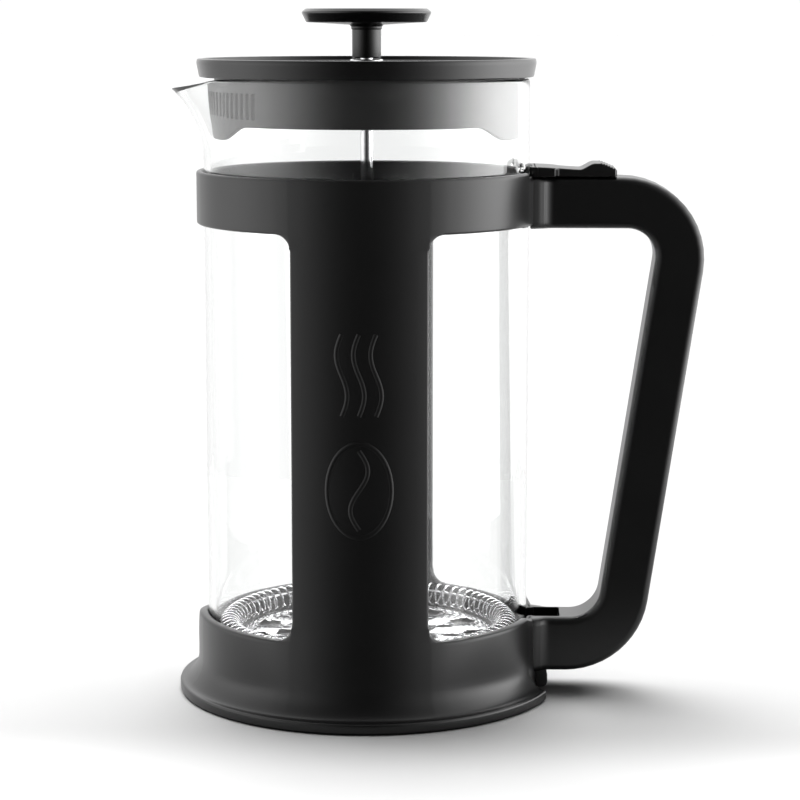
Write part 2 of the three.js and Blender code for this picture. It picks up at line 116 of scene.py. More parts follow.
# ---------------------------------------------------------------- shapes
class Shape:
    """Points around the beaker's axis, with faces between them."""

    def __init__(self):
        self.points = []
        self.faces = []

    def grid(self, rows, wrap=False, close=False):
        """Quads between rows; wrap joins the ends of each row, close joins the last row to the first."""
        start, width = len(self.points), len(rows[0])
        for row in rows:
            self.points.extend(row)
        for i in range(len(rows) if close else len(rows) - 1):
            low, high = start + i * width, start + (i + 1) % len(rows) * width
            for j in range(width if wrap else width - 1):
                k = (j + 1) % width
                self.faces.append((low + j, low + k, high + k, high + j))
        return self

    def cap(self, loop):
        start = len(self.points)
        self.points.extend(loop)
        self.faces.append(tuple(range(start, start + len(loop))))
        return self

    def loft(self, loops):
        """A skin over closed loops, with a flat end on each side."""
        return self.grid(loops, wrap=True).cap(loops[0]).cap(loops[-1])

    def lathe(self, profile, count=96, close=True):
        """A profile of (radius, height) turned about the axis."""
        turns = [FULL * i / count for i in range(count)]
        return self.grid([[polar(r, turn, z) for turn in turns] for r, z in profile], True, close)

    def tube(self, path, centres, radius, sides):
        """A round wire along a closed path; centres are the points that it bends around."""
        loops = []
        for i, (here, centre) in enumerate(zip(path, centres)):
            ahead = Vector(path[(i + 1) % len(path)]) - Vector(path[i - 1])
            out = (Vector(here) - Vector(centre)).normalized()
            side = ahead.normalized().cross(out).normalized()
            out = side.cross(ahead.normalized())
            turns = [math.tau * k / sides for k in range(sides)]
            loops.append([
                tuple(Vector(here) + (out * math.cos(t) + side * math.sin(t)) * radius) for t in turns
            ])
        return self.grid(loops, True, True)

    def slab(self, sheet, spot, thickness, rounding):
        """A sheet given thickness and rounded edges.

        spot(u, v, depth) places a point; depth runs from 0 on the face to thickness on the back.
        """
        def at(point, inset, depth):
            return spot(*sheet.drawn_in(point, inset), depth)

        for depth in (0.0, thickness):
            index = {}
            for loop in sheet.loops:
                for point in loop:
                    if point not in index:
                        index[point] = len(self.points)
                        self.points.append(at(point, rounding, depth))
                self.faces.append(tuple(index[point] for point in loop))
        turns = [math.radians(90 * k / 3) for k in range(4)]
        bend = [(rounding * (1 - math.sin(t)), rounding * (1 - math.cos(t))) for t in turns]
        section = bend + [(inset, thickness - depth) for inset, depth in reversed(bend)]
        for a, b in sheet.rims:
            self.grid([[at(a, *step) for step in section], [at(b, *step) for step in section]])
        return self


class Sheet:
    """Flat cells of (u, v) corners, and the rims where a cell has no neighbour.

    scale is the millimetres in a unit of u, period is where u starts again, and joined(v) is true
    on an edge that another surface carries on from.
    """

    def __init__(self, cells, scale=1.0, period=0.0, joined=None):
        self.scale = scale
        self.period = period
        self.loops = [loop for loop in map(self.loop, cells) if loop]
        edges = dict.fromkeys(edge for loop in self.loops for edge in zip(loop, loop[1:] + loop[:1]))
        self.rims = [edge for edge in edges if edge[::-1] not in edges]
        if joined:
            self.rims = [(a, b) for a, b in self.rims if not (joined(a[1]) and joined(b[1]))]
        self.outward = {}
        for a, b in self.rims:
            du, dv = self.apart(a, b)
            normal = Vector((dv, -du)).normalized()
            for point in (a, b):
                self.outward[point] = self.outward.get(point, Vector((0, 0))) + normal

    def key(self, point):
        u = round(point[0] % self.period, 3) % self.period if self.period else round(point[0], 3)
        return (u, round(point[1], 3))

    def apart(self, a, b):
        """The way from a to b in millimetres, the short way round."""
        away, period = b[0] - a[0], self.period
        return ((away + period / 2) % period - period / 2 if period else away) * self.scale, b[1] - a[1]

    def loop(self, cell):
        """A cell's corners turning left and without repeats, or None where it has no area."""
        loop = list(dict.fromkeys(self.key(point) for point in cell))
        spokes = [self.apart(loop[0], point) for point in loop[1:]]
        area = sum(a[0] * b[1] - b[0] * a[1] for a, b in zip(spokes, spokes[1:]))
        if abs(area) < 1e-9:
            return None
        return loop if area > 0 else loop[::-1]

    def drawn_in(self, point, inset):
        """The point drawn in from the rims that it lies on."""
        out = self.outward.get(point)
        if out is None or out.length < 1e-6:
            return point
        out = out.normalized() * inset
        return (point[0] - out.x / self.scale, point[1] - out.y)


def build(name, shape, sharp=SHARP):
    """The shape as an object in the part's frame, with its seams closed and its faces outwards."""
    mesh = bpy.data.meshes.new(name)
    mesh.from_pydata([(AXIS + x * MM, y * MM, z * MM) for x, y, z in shape.points], [], shape.faces)
    work = bmesh.new()
    work.from_mesh(mesh)
    bmesh.ops.remove_doubles(work, verts=work.verts, dist=2e-6)
    bmesh.ops.dissolve_degenerate(work, edges=work.edges, dist=2e-6)
    bmesh.ops.recalc_face_normals(work, faces=work.faces)
    work.to_mesh(mesh)
    work.free()
    mesh.shade_smooth()
    mesh.set_sharp_from_angle(angle=sharp)
    thing = bpy.data.objects.new(name, mesh)
    bpy.context.scene.collection.objects.link(thing)
    return thing


def even_normals(thing):
    """Flat faces stay flat up to the rounded edges beside them."""
    normals = thing.modifiers.new("normals", "WEIGHTED_NORMAL")
    normals.keep_sharp = True
    return thing


def cut(thing, tools):
    """Takes the tools' shapes out of the thing."""
    for tool in tools:
        change = thing.modifiers.new("cut", "BOOLEAN")
        change.object = tool
        change.solver = "EXACT"
    bpy.context.view_layer.update()
    result = bpy.data.meshes.new_from_object(thing.evaluated_get(bpy.context.evaluated_depsgraph_get()))
    thing.modifiers.clear()
    thing.data = result
    thing.data.shade_smooth()
    thing.data.set_sharp_from_angle(angle=SHARP)
    for tool in tools:
        bpy.data.objects.remove(tool)
    return thing


def place(thing, body, material, nodes):
    """Gives the thing its finish and its body, and lets it stand for the CAD nodes."""
    thing.data.materials.clear()
    thing.data.materials.append(material)
    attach(thing, body)
    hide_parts(*nodes)


def rounded_box(x, y, z, radius):
    """A block with rounded upright edges."""
    path = soften([(x[0], y[0], radius), (x[1], y[0], radius), (x[1], y[1], radius), (x[0], y[1], radius)],
                  steps=3)
    return Shape().loft([[(a, b, level) for a, b in path] for level in z])


# ---------------------------------------------------------------- finishes
def finish(name, dark, light, rough, metallic=0.0, grain=900.0, bump=0.02, stretch=(1, 1, 1)):
    """A surface whose tone and gloss drift a little, with a fine grain in its relief."""
    material = bpy.data.materials.new(name)
    material.use_nodes = True
    nodes, links = material.node_tree.nodes, material.node_tree.links
    shader = nodes["Principled BSDF"]
    where = nodes.new("ShaderNodeTexCoord")
    mapping = nodes.new("ShaderNodeMapping")
    mapping.inputs["Scale"].default_value = stretch
    broad = nodes.new("ShaderNodeTexNoise")
    broad.inputs["Scale"].default_value = 38.0
    broad.inputs["Detail"].default_value = 3.0
    fine = nodes.new("ShaderNodeTexNoise")
    fine.inputs["Scale"].default_value = grain
    fine.inputs["Detail"].default_value = 2.0
    tone = nodes.new("ShaderNodeMix")
    tone.data_type = "RGBA"
    tone.inputs[6].default_value = (*dark, 1)
    tone.inputs[7].default_value = (*light, 1)
    gloss = nodes.new("ShaderNodeMapRange")
    gloss.inputs["To Min"].default_value = rough[0]
    gloss.inputs["To Max"].default_value = rough[1]
    relief = nodes.new("ShaderNodeBump")
    relief.inputs["Strength"].default_value = bump
    relief.inputs["Distance"].default_value = 0.0004
    links.new(where.outputs["Object"], mapping.inputs["Vector"])
    links.new(mapping.outputs["Vector"], broad.inputs["Vector"])
    links.new(mapping.outputs["Vector"], fine.inputs["Vector"])
    links.new(broad.outputs["Fac"], tone.inputs[0])
    links.new(tone.outputs[2], shader.inputs["Base Color"])
    links.new(broad.outputs["Fac"], gloss.inputs["Value"])
    links.new(gloss.outputs["Result"], shader.inputs["Roughness"])
    links.new(fine.outputs["Fac"], relief.inputs["Height"])
    links.new(relief.outputs["Normal"], shader.inputs["Normal"])
    shader.inputs["Metallic"].default_value = metallic
    return material


def clear_glass(name):
    """Clear glass with the faintest waviness."""
    material = finish(name, (0.985, 0.995, 0.99), (1, 1, 1), (0.0, 0.004), grain=14.0, bump=0.03)
    shader = material.node_tree.nodes["Principled BSDF"]
    shader.inputs["Transmission Weight"].default_value = 1.0
    shader.inputs["IOR"].default_value = 1.47
    return material


def metal(name, dark, light, rough, **relief):
    return finish(name, dark, light, rough, metallic=1.0, **relief)


BLACK = finish("satin black plastic", (0.0022, 0.0021, 0.0023), (0.0034, 0.0033, 0.0035), (0.3, 0.36),
               grain=1500.0)
LID_BLACK = finish("lid black plastic", (0.0025, 0.0024, 0.0026), (0.0038, 0.0037, 0.0039), (0.2, 0.26))
# partly painted sheen: the skirt's own dark plastic, made a lighter grey than the lid's black to stand in
# for the haze and reflections it shows behind the glass
STRAINER = finish("strainer plastic with painted sheen", (0.03, 0.0295, 0.0295), (0.036, 0.035, 0.0355), (0.38, 0.46),
                  bump=0.006)
GLASS = clear_glass("beaker glass")
ROD_CHROME = metal("rod chrome", (0.62, 0.62, 0.63), (0.7, 0.7, 0.71), (0.05, 0.09),
                   grain=700.0, bump=0.01, stretch=(1, 1, 0.02))
PLATE_CHROME = metal("plate chrome", (0.72, 0.72, 0.73), (0.8, 0.8, 0.81), (0.09, 0.15),
                     grain=500.0, bump=0.03)
STEEL = metal("bright steel", (0.6, 0.6, 0.61), (0.7, 0.7, 0.71), (0.12, 0.2), bump=0.03)
MESH = metal("woven steel mesh", (0.1, 0.1, 0.1), (0.2, 0.2, 0.2), (0.35, 0.5), grain=2200.0, bump=0.4)
SPRING = metal("spring steel", (0.52, 0.52, 0.53), (0.64, 0.64, 0.65), (0.16, 0.22),
               grain=1200.0, bump=0.03)
BRASS = metal("insert brass", (0.55, 0.4, 0.14), (0.66, 0.49, 0.2), (0.2, 0.32), bump=0.05)


# ---------------------------------------------------------------- frame: foot, band, straps and collar
GLASS_R = side_of("glass_beaker", X, HIGH)
FRAME_IN = GLASS_R + GAP
COLLAR_OUT = side_of("frame_collar", Y, HIGH)
COLLAR_LOW, COLLAR_TOP = side_of("frame_collar", Z, LOW), side_of("frame_collar", Z, HIGH)
FOOT_R = side_of("frame_base", Y, HIGH)
BAND_OUT = 53.2
BAND_FROM = 16.0  # height where the foot's section passes into the band
BAND_BEND = 19.5  # height above which the band follows its uneven top
BAND_TOP = side_of("frame_base", Z, HIGH)
BACK_DROP = 3.2  # how much lower the band is behind the side windows
HANDLE_TOP = side_of("handle", Z, HIGH)
FILLET = 5.0
FILLET_STEPS = 5
PER_DEGREE = COLLAR_OUT * math.pi / 180  # millimetres around the frame
STRAP_HALF = 20.4
STRAP_EDGE = 90 - math.degrees(math.asin(STRAP_HALF / COLLAR_OUT))
FILLET_EDGE = STRAP_EDGE - FILLET / PER_DEGREE
NOTCH_R = 53.5
NOTCH_LOW = 3.15
NOTCH_EDGE = 18.8  # degrees from the handle
LOCK_WAY = (17.6, 19.0)  # degrees over which the collar rises again beside the lock
LOCK_WAY_Z = (157.5, 161.5)  # heights over which it is drawn down there
ARM_WAY = (12, 19)  # degrees over which the band rises again beside the lower arm
EDGE_ROUNDING = 0.8
POCKET_EDGE = 6  # degrees of the band that the pocket cuts on each side of the handle
OVER_BASE = 23.7  # top of the lower arm


def quarter_columns():
    """Angles from the handle to the middle of a strap, closer together at the notch and the fillets."""
    window = [0, 3, 6, 9, 12, 15, 17.6, NOTCH_EDGE - 0.2, NOTCH_EDGE + 0.2]
    window += [21 + 3 * i for i in range(14)]
    fillet = span(FILLET_EDGE, STRAP_EDGE, FILLET_STEPS)
    return [w for w in window if w < FILLET_EDGE - 1] + fillet + span(STRAP_EDGE, 90, 5)[1:]


def all_columns():
    quarter = quarter_columns()
    half = quarter + [180 - a for a in reversed(quarter[:-1])]
    return half + [FULL - a for a in reversed(half[1:-1])]


def from_handle(angle):
    """Degrees from the handle, to either side."""
    return abs((angle + 180) % FULL - 180)


def outer_radius(z):
    """The straps swell a little where they run into the band."""
    return COLLAR_OUT + (BAND_OUT - COLLAR_OUT) * (1 - smooth(19, 36, z))


def frame_spot(angle, z, depth):
    """A point of the frame's wall; the collar is lower under the lock and the band at the back."""
    near = from_handle(angle)
    drop = (COLLAR_TOP - HANDLE_TOP) * smooth(*LOCK_WAY_Z, z) * (1 - smooth(*LOCK_WAY, near))
    in_band = smooth(BAND_BEND, BAND_TOP, z)
    drop += (BAND_TOP - OVER_BASE) * in_band * (1 - smooth(BAND_TOP, 30, z)) * (1 - smooth(*ARM_WAY, near))
    behind = smooth(-0.25, 0.35, math.sin(math.radians(angle))) * smooth(17, 24, near)
    drop += BACK_DROP * behind * in_band * (1 - smooth(BAND_TOP, 50, z))
    outside = outer_radius(z)
    return polar(outside - depth * (outside - FRAME_IN) / (COLLAR_OUT - FRAME_IN), angle, z - drop)


def window_corner(edge, side, level, up):
    """Cells that fill the rounded corner beside a strap's edge; side and up point into the window."""
    reach = FILLET / PER_DEGREE
    outline, arc = [], []
    for k in range(2 * FILLET_STEPS + 1):
        turn = math.radians(90 * k / (2 * FILLET_STEPS))
        arc.append((edge + side * reach * (1 - math.sin(turn)), level + up * FILLET * (1 - math.cos(turn))))
        if k <= FILLET_STEPS:
            outline.append((edge + side * reach * (1 - k / FILLET_STEPS), level))
        else:
            outline.append((edge, level + up * FILLET * (k - FILLET_STEPS) / FILLET_STEPS))
    return [[outline[k], outline[k + 1], arc[k + 1], arc[k]] for k in range(2 * FILLET_STEPS)]


def frame_cells():
    columns = all_columns()
    band = [BAND_FROM, 19, 22, 24, BAND_TOP]
    middle = span(BAND_TOP + FILLET, COLLAR_LOW - FILLET, 12)
    strap = span(BAND_TOP, middle[0], FILLET_STEPS) + middle[1:-1]
    strap += span(middle[-1], COLLAR_LOW, FILLET_STEPS)
    collar = [COLLAR_LOW, 148.5, 152, 156, 158, 159.5, 161, COLLAR_TOP]
    cells = []
    for a, b in zip(columns, columns[1:] + [FULL]):
        middle_angle = (a + b) / 2
        on_strap = abs(middle_angle % 180 - 90) < 90 - STRAP_EDGE
        at_pocket = from_handle(middle_angle) < POCKET_EDGE
        for rows, wanted in ((band[:2] if at_pocket else band, True), (strap, on_strap), (collar, True)):
            if wanted:
                cells += [[(a, low), (b, low), (b, high), (a, high)] for low, high in zip(rows, rows[1:])]
    for edge, side in ((STRAP_EDGE, -1), (180 - STRAP_EDGE, 1), (180 + STRAP_EDGE, -1), (-STRAP_EDGE, 1)):
        cells += window_corner(edge, side, BAND_TOP, 1) + window_corner(edge, side, COLLAR_LOW, -1)
    return cells


def foot_rows():
    """The foot's section, from the outside of the band round the underside to the inside of the wall."""
    outside = [(BAND_OUT, BAND_FROM), (BAND_OUT, 13), (53.22, 11), (53.4, 9.5), (53.8, 8.0), (54.5, 6.6),
               (55.4, 5.3), (56.3, 4.3), (57.0, 3.75), (57.7, 3.5), (58.2, 3.45)]
    lip = [(58.7, 3.4), (59.05, 3.15), (FOOT_R, 2.7), (FOOT_R, 1.0), (59.05, 0.55), (58.75, 0.2),
           (58.3, 0.0)]
    under = [(57.2, 0.0), (56.8, 0.15), (56.5, 0.6), (56.1, 1.3), (54.8, 2.3), (53.4, 3.2), (52.4, 4.2),
             (51.4, 5.6), (50.4, 6.4), (49.4, 6.5)]
    ledge = [(42.5, 6.5), (42.1, 6.7), (42.0, 7.1), (42.0, 8.2), (42.15, 8.55), (42.5, 8.7), (49.8, 8.7)]
    inside = [(50.2, 8.85), (FRAME_IN, 9.3), (FRAME_IN, 12), (FRAME_IN, BAND_FROM)]
    return outside + lip + under + ledge + inside


def foot_point(radius, angle, z):
    """The foot stands back to the band under the handle."""
    if from_handle(angle) < NOTCH_EDGE and radius > NOTCH_R:
        return polar(NOTCH_R, angle, max(z, NOTCH_LOW))
    return polar(radius, angle, z)


FRONT = -90  # degrees from the handle
BEAN_AT = (FRONT, 72)
BEAN_HALF = (9.5, 14)
STEAM_STEP = 5.5  # degrees between the lines of steam
STEAM_Z = (94, 118)
STEAM_SWAY = 1.6


def steam_line(middle):
    """A rising line of steam on the strap, as (degrees, z) points."""
    low, high = STEAM_Z
    turns = span(0, math.tau, 20)
    return [(middle + STEAM_SWAY * math.sin(t) / PER_DEGREE, low + (high - low) * t / math.tau)
            for t in turns]


def bean_lines():
    """A coffee bean: its outline and the crease down its middle."""
    middle, level = BEAN_AT
    half, tall = BEAN_HALF
    turns = span(0, math.tau, 40)
    outline = [(middle + half * math.cos(t) / PER_DEGREE, level + tall * math.sin(t)) for t in turns]
    bend, reach = 2.6, tall - 2.2
    parts = span(-1, 1, 20)
    crease = [(middle + bend * math.sin(t * math.pi) / PER_DEGREE, level + reach * t) for t in parts]
    return outline, crease


def raised_line(shape, line, half=0.75, height=0.28):
    """A low rounded bead on the front strap's face."""
    section = [(-1, -0.6), (-0.85, 0.35), (-0.45, 0.85), (0, 1), (0.45, 0.85), (0.85, 0.35), (1, -0.6)]
    loops = []
    for i, (angle, z) in enumerate(line):
        before, after = line[max(0, i - 1)], line[min(len(line) - 1, i + 1)]
        along = Vector(((after[0] - before[0]) * PER_DEGREE, after[1] - before[1])).normalized()
        across, up = along.y * half / PER_DEGREE, along.x * half
        face = outer_radius(z)
        loops.append([polar(face + lift * height, angle - across * side, z + up * side)
                      for side, lift in section])
    return shape.loft(loops)


def frame_cage():
    shape = Shape()
    columns = all_columns()
    shape.grid([[foot_point(r, a, z) for a in columns] for r, z in foot_rows()], wrap=True)
    sheet = Sheet(frame_cells(), PER_DEGREE, FULL, joined=lambda z: z == BAND_FROM)
    shape.slab(sheet, frame_spot, COLLAR_OUT - FRAME_IN, EDGE_ROUNDING)
    for line in bean_lines():
        raised_line(shape, line)
    for middle in (FRONT - STEAM_STEP, FRONT, FRONT + STEAM_STEP):
        raised_line(shape, steam_line(middle))
    return even_normals(build("frame_cage", shape))


# ---------------------------------------------------------------- frame: handle
ROOT_R = 51.3  # the arms begin inside the frame's wall
UNDER_TOP = 145.2  # underside of the upper arm
HANDLE_BASE = 6.6
HANDLE_HALF = 8.5
HANDLE_ROUNDING = 2.3
ROOT_HALF = side_of("handle", Y, HIGH)
ROOT_FILLET = 4.0
CREASE_X = 54.4  # where the root's slanted face meets its fillet
CREASE_HALF = 10.0
TOP_BEND = (25, 8.5)  # outer and inner radius where the upper arm turns into the grip
BASE_BEND = (26, 9.5)  # and where the grip turns into the lower arm
GRIP_SLOPE = 0.149
GRIP_OUT = 83.4  # the grip's outer line at the ground
GRIP_IN = 68.1  # and its inner line
POCKET = ((50.2, 60.4), (-6, 6), (17, 30))
KEYWAY = ((57.7, 70.3), (-2.7, 2.7), (156.9, 170))


def grip_x(start, z):
    return start + GRIP_SLOPE * z


def root_rings():
    """(x, half width) out from the frame: a slanted face, a crease and a fillet into the arm."""
    slope = (ROOT_HALF - CREASE_HALF) / (CREASE_X - ROOT_R)
    slant = [(x, ROOT_HALF - slope * (x - ROOT_R)) for x in (ROOT_R, 52.4, 53.4, CREASE_X - 0.25)]
    turn = math.acos(1 - (CREASE_HALF - HANDLE_HALF) / ROOT_FILLET)
    end = CREASE_X + ROOT_FILLET * math.sin(turn)
    bends = span(turn, 0, 8)
    fillet = [(end - ROOT_FILLET * math.sin(t), HANDLE_HALF + ROOT_FILLET * (1 - math.cos(t)))
              for t in bends]
    return slant + fillet


def arm_rings(outer_z, inner_z, outer_end, inner_end):
    """(outer point, inner point, half width) from the frame along an arm to its corner."""
    rings = [((x, outer_z), (x, inner_z), half) for x, half in root_rings()]
    start = rings[-1][0][0]
    for t in span(0, 1, 5)[1:-1]:
        outer = (start + (outer_end - start) * t, outer_z)
        rings.append((outer, (start + (inner_end - start) * t, inner_z), HANDLE_HALF))
    return rings


def handle_rings():
    steps = 12
    outer = soften([(ROOT_R, HANDLE_TOP), (grip_x(GRIP_OUT, HANDLE_TOP), HANDLE_TOP, TOP_BEND[0]),
                    (grip_x(GRIP_OUT, HANDLE_BASE), HANDLE_BASE, BASE_BEND[0]), (ROOT_R, HANDLE_BASE)],
                   False, steps)
    inner = soften([(ROOT_R, UNDER_TOP), (grip_x(GRIP_IN, UNDER_TOP), UNDER_TOP, TOP_BEND[1]),
                    (grip_x(GRIP_IN, OVER_BASE), OVER_BASE, BASE_BEND[1]), (ROOT_R, OVER_BASE)],
                   False, steps)
    outer, inner = outer[1:-1], inner[1:-1]
    top = arm_rings(HANDLE_TOP, UNDER_TOP, outer[0][0], inner[0][0])
    low = arm_rings(HANDLE_BASE, OVER_BASE, outer[-1][0], inner[-1][0])
    corners = [(a, b, HANDLE_HALF) for a, b in zip(outer, inner)]
    grip = []
    for t in span(0, 1, 8)[1:-1]:
        mixed = [tuple(Vector(p[steps]).lerp(Vector(p[steps + 1]), t)) for p in (outer, inner)]
        grip.append((*mixed, HANDLE_HALF))
    return top + corners[: steps + 1] + grip + corners[steps + 1:] + low[::-1]


def handle_loop(outer, inner, half):
    """A rounded section between the handle's outer and inner lines."""
    outer, inner = Vector(outer), Vector(inner)
    middle, reach = (outer + inner) / 2, (outer - inner) / 2
    deep, rounding = reach.length, HANDLE_ROUNDING
    path = soften([(deep, -half, rounding), (deep, half, rounding), (-deep, half, rounding),
                   (-deep, -half, rounding)], steps=5)
    loop = []
    for across, y in path:
        spot = middle + reach.normalized() * across
        follow = math.sqrt(ROOT_R ** 2 - y * y) - ROOT_R
        loop.append((spot.x + follow * (1 - smooth(51.4, 52.4, spot.x)), y, spot.y))
    return loop


def tongue():
    """The short web under the lower arm, inside the foot's notch."""
    outline = soften([(53, 9.2), (53, 1.5, 0.8), (56.6, 1.5, 1.6), (56.6, 5.4, 1.2), (55.6, 9.2)], steps=4)
    return Shape().loft([[(x, y, z) for x, z in outline] for y in (-8, -7.6, 0, 7.6, 8)])


def frame_handle():
    shape = Shape().loft([handle_loop(*ring) for ring in handle_rings()])
    thing = build("frame_handle", shape)
    pocket = build("pocket", rounded_box(*POCKET, 0.8))
    keyway = build("keyway", rounded_box(*KEYWAY, 0.4))
    web = build("web", tongue())
    thing = cut(thing, [pocket, keyway])
    joined = bmesh.new()
    joined.from_mesh(thing.data)
    joined.from_mesh(web.data)
    joined.to_mesh(thing.data)
    joined.free()
    bpy.data.objects.remove(web)
    return even_normals(thing)


# ---------------------------------------------------------------- lock
LOCK_LOW = HANDLE_TOP + GAP
LOCK_PLATE = 163.2
LOCK_END = side_of("lock_slider", X, HIGH)
LOCK_RAISED = 0.8  # how much thicker the plate is over the frame
LOCK_HALF = 8.2
JAW_R = (50.75, 53.4)
JAW_ANGLE = 11.6


def lock_top(x):
    """The height along the lock: raised over the frame, then the thumb rest with fine ribs behind it."""
    raised = LOCK_RAISED * (1 - smooth(52, 66, x))
    rise = 1.85 * smooth(65, 69.8, x) * (1 - 0.98 * smooth(71.3, 77.2, x))
    rib = 0.13 * math.sin((x - 71.5) * math.tau / 0.8) if 71.5 < x < 76 else 0
    return LOCK_PLATE + raised + rise + rib


def lock_half(x):
    """The plate is wider over the root of the arm."""
    return LOCK_HALF + 2.0 * (1 - smooth(57.4, 58.8, x))


def lock_slider():
    shape = Shape()
    loops = []
    steps = [51.4, 51.7, 52.2, 53, 54, 55, 56, 57, 57.4, 57.75, 58.1, 58.45, 58.8, 60, 61, 63, 64.4]
    for x in steps + span(64.6, LOCK_END - 0.6, 104) + [LOCK_END - 0.3, LOCK_END - 0.1, LOCK_END]:
        end = smooth(LOCK_END - 0.6, LOCK_END, x)
        half = lock_half(x) - 0.5 * end
        top = lock_top(x) - 0.4 * end
        path = soften([(-half, LOCK_LOW, 0.3), (half, LOCK_LOW, 0.3), (half, top, 0.5), (-half, top, 0.5)],
                      steps=3)
        loops.append([(x, y, z) for y, z in path])
    shape.loft(loops)
    (inner, outer), high = JAW_R, LOCK_PLATE + LOCK_RAISED
    corners = [(inner, LOCK_LOW), (outer, LOCK_LOW), (outer, high), (inner, high)]
    section = soften([(*corner, 0.4) for corner in corners], steps=3)
    shape.loft([[polar(r, angle, z) for r, z in section] for angle in span(-JAW_ANGLE, JAW_ANGLE, 16)])
    keel = soften([(58, -2.4, 0.3), (65, -2.4, 0.3), (65, 2.4, 0.3), (58, 2.4, 0.3)], steps=2)
    shape.loft([[(x, y, z) for x, y in keel] for z in (157.3, 161.5)])
    return even_normals(build("slide_lock", shape))


# ---------------------------------------------------------------- beaker
GLASS_WALL = 2.0
GLASS_FLOOR = 2.2
GLASS_LOW, GLASS_RIM = side_of("glass_beaker", Z, LOW), side_of("glass_beaker", Z, HIGH)
SPOUT_START = 166.0  # height where the spout leaves the wall
SPOUT_REACH = 10.3
SPOUT_DROP = 3
SPOUT_HALF = 32.0  # degrees
LUG_ANGLE = 19.0
LUG_Z = 164.3
LUG_R = 1.4


def pull_spout(point):
    """Draws the wall around -X outwards and a little down, so that a pouring lip forms."""
    x, y, z = point
    angle = abs(math.degrees(math.atan2(y, -x)))
    up = (z - SPOUT_START) / (GLASS_RIM - SPOUT_START)
    radius = math.hypot(x, y)
    if up <= 0 or radius < 1 or angle >= SPOUT_HALF:
        return point
    across = math.cos(math.pi / 2 * angle / SPOUT_HALF)
    grow = 1 + SPOUT_REACH * up ** 1.9 * across ** 3 / radius
    return (x * grow, y * grow, z - SPOUT_DROP * up ** 3 * across ** 2)


def glass_beaker():
    inner = GLASS_R - GLASS_WALL
    floor = GLASS_LOW + GLASS_FLOOR
    path = soften([(0, GLASS_LOW), (GLASS_R, GLASS_LOW, 6), (GLASS_R, GLASS_RIM, 0.95),
                   (inner, GLASS_RIM, 0.95), (inner, floor, 4.5), (0, floor)], closed=False, steps=8)
    wall = []
    for (r, z), (r2, z2) in zip(path, path[1:]):
        step = 2.0 if max(z, z2) > SPOUT_START else 8.0
        tall = abs(z2 - z) > 20
        pieces = split([(r, z), (r2, z2)], step if tall else 6.0)
        wall += pieces[:-1]
    wall.append(path[-1])
    shape = Shape().lathe(wall, 160, close=False)
    shape.points = [pull_spout(point) for point in shape.points]
    for side in (-LUG_ANGLE, LUG_ANGLE):
        centre = Vector(polar(GLASS_R - 0.3, side, LUG_Z))
        dome = []
        for tilt in [math.radians(t) for t in span(-90, 90, 10)]:
            turns = span(0, FULL, 16)[:-1]
            ring = [polar(LUG_R * math.cos(tilt), turn, LUG_R * math.sin(tilt)) for turn in turns]
            dome.append([tuple(centre + Vector(point)) for point in ring])
        shape.grid(dome, wrap=True)
    return build("beaker", shape, math.radians(70))


# ---------------------------------------------------------------- lid
LID_R = side_of("lid_cover", Y, HIGH)
LID_LOW, LID_TOP = side_of("lid_cover", Z, LOW), side_of("lid_cover", Z, HIGH)
LID_FLOOR = (192.8, 195.0)
SKIRT_R = side_of("lid_strainer", Y, HIGH)
SKIRT_WALL = 1.4
SKIRT_LOW, SKIRT_TOP = 176.7, 192.4
TAB_DROP = 4.2
TAB_END = (34, 42.2)  # where a tab's slanted end begins and stops
TAB_SHIFT = 5.0
SLOT_COUNT = 31
SLOT_PITCH = 3.2  # degrees
SLOT_HALF = 0.74
SLOT_LOW = 180.0
SLOT_HIGH = 186.6


def lid_cover():
    under, floor = LID_FLOOR
    wall = [(47.4, under), (47.4, LID_LOW, 0.2), (51.1, LID_LOW, 0.5), (LID_R - 0.05, 195.4, 2.0)]
    lip = [(LID_R - 0.4, LID_TOP, 0.5), (LID_R - 1.8, LID_TOP, 0.5), (LID_R - 2.5, floor, 0.8)]
    middle = [(14, floor, 1.0), (12, 195.25, 1.0), (6.2, 195.25, 0.2), (5.9, floor, 0.2), (3.9, floor, 0.2)]
    profile = soften([(3.9, under, 0.2)] + wall + lip + middle, steps=4)
    return even_normals(build("lid_disc", Shape().lathe(split(profile, 9), 128)))


def tab(angle):
    """1 on the two tabs that hang below the skirt, 0 between them; they are narrower at the back."""
    away = abs(SKIRT_R * math.cos(math.radians(angle)))
    shift = TAB_SHIFT * smooth(-0.2, 0.2, math.sin(math.radians(angle)))
    start, stop = TAB_END
    return smooth(start + shift, stop + shift / 2, away)


def skirt_spot(angle, z, depth):
    """A point of the skirt; its lower edge follows the tabs, and the outer slots reach lower."""
    low = 1 - smooth(SKIRT_LOW, SLOT_LOW + 0.5, z)
    away = smooth(20, 43, abs(angle % FULL - 180))
    longer = 1.05 * away * (1 - smooth(SLOT_LOW - 1, SLOT_HIGH, z)) * (1 - low)
    return polar(SKIRT_R - depth, angle, z - TAB_DROP * tab(angle) * low - longer)


def skirt_cells():
    slots = [180 + SLOT_PITCH * (i - (SLOT_COUNT - 1) / 2) for i in range(SLOT_COUNT)]
    columns = [c for s in slots for c in (s - SLOT_HALF, s, s + SLOT_HALF)]
    first, last = columns[0], columns[-1]
    columns += span(last, FULL + first, 110)[1:-1]
    rows = [SKIRT_LOW, 178, SLOT_LOW, 181, 183.5, 185.6, SLOT_HIGH, 188.5, SKIRT_TOP]
    cells = []
    for a, b in zip(columns, columns[1:] + [FULL + first]):
        middle = (a + b) / 2
        slotted = any(abs(middle - s) < SLOT_HALF for s in slots)
        for low, high in zip(rows, rows[1:]):
            if slotted and SLOT_LOW <= low and high <= SLOT_HIGH:
                continue
            cells.append([(a, low), (b, low), (b, high), (a, high)])
    return cells


